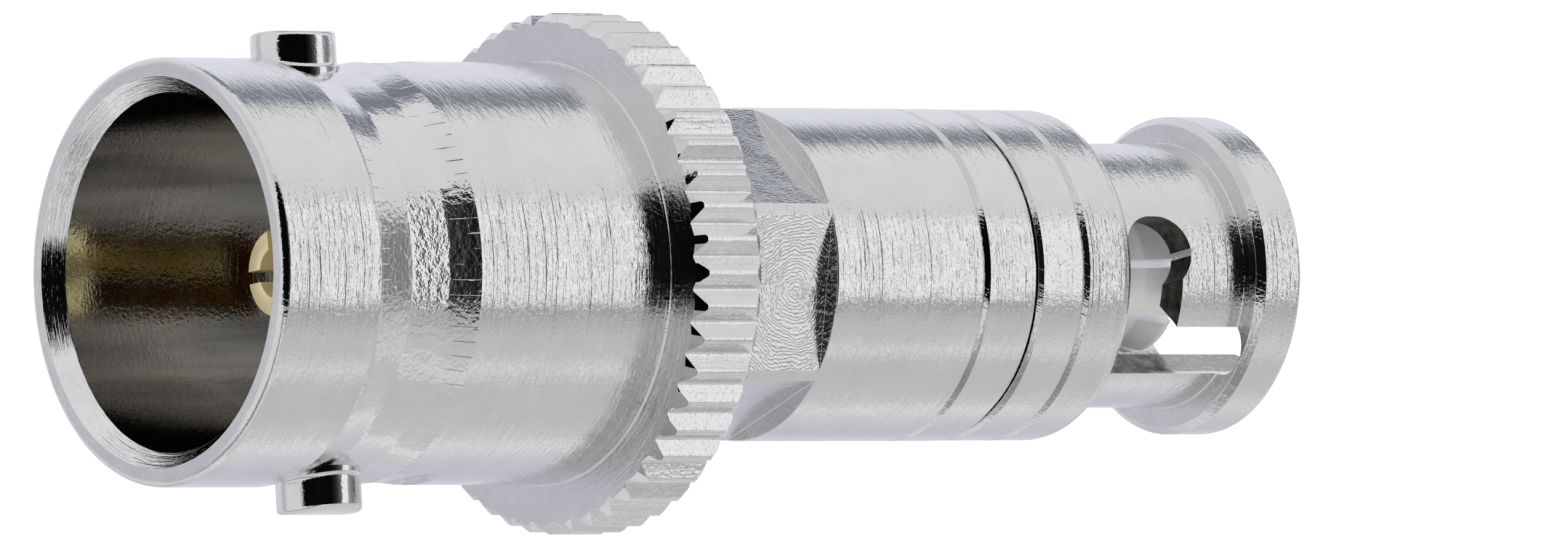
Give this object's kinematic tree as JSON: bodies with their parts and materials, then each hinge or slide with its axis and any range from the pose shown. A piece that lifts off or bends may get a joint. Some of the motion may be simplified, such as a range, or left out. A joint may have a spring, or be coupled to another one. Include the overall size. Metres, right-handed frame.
{
  "type": "coaxial adapter",
  "caption": "Coaxial adapter: bayonet jack at one end, miniature bayonet plug with a sprung, turning coupling nut at the other, knurled flange and spanner flats between.",
  "frame": {"origin": "on the axis at the face of the plug's mouth, which it stands on", "axes": "+Z along the axis from the plug to the jack; the jack's two lugs lie along X"},
  "size_m": [0.0118, 0.0118, 0.0302],
  "materials": {
    "jack_nickel": "nickel plated, fine turning marks, knurl and milled flats",
    "body_nickel": "nickel plated, fine turning marks",
    "sleeve_nickel": "white bronze plated",
    "nut_nickel": "nickel plated, fine turning marks",
    "gold": "gilt, satin",
    "spring_bronze": "bright spring bronze",
    "ptfe": "white PTFE"
  },
  "bodies": {
    "nut": {"coupling_nut": "nut_nickel", "nut_rear_bush": "nut_nickel"},
    "washer": {"thrust_washer": "spring_bronze"},
    "adapter": {"jack_body": "jack_nickel", "plug_body": "body_nickel", "plug_outer_contact": "sleeve_nickel", "bnc_insulator": "ptfe", "barrel_insulator": "ptfe", "plug_insulator": "ptfe", "bnc_contact": "gold", "plug_pin": "gold", "snap_ring": "spring_bronze", "wave_spring": "spring_bronze"}
  },
  "joints": [
    {"name": "nut_turn", "type": "hinge", "parent": "nut", "child": "washer", "pos_m": [0, 0, 0.0073], "axis": [0, 0, 1], "continuous": true},
    {"name": "nut_slide", "type": "slide", "parent": "washer", "child": "adapter", "axis": [0, 0, 1], "range_m": [0, 0.0005], "stiffness_N_per_m": 2000, "deforming": ["wave_spring"]}
  ]
}
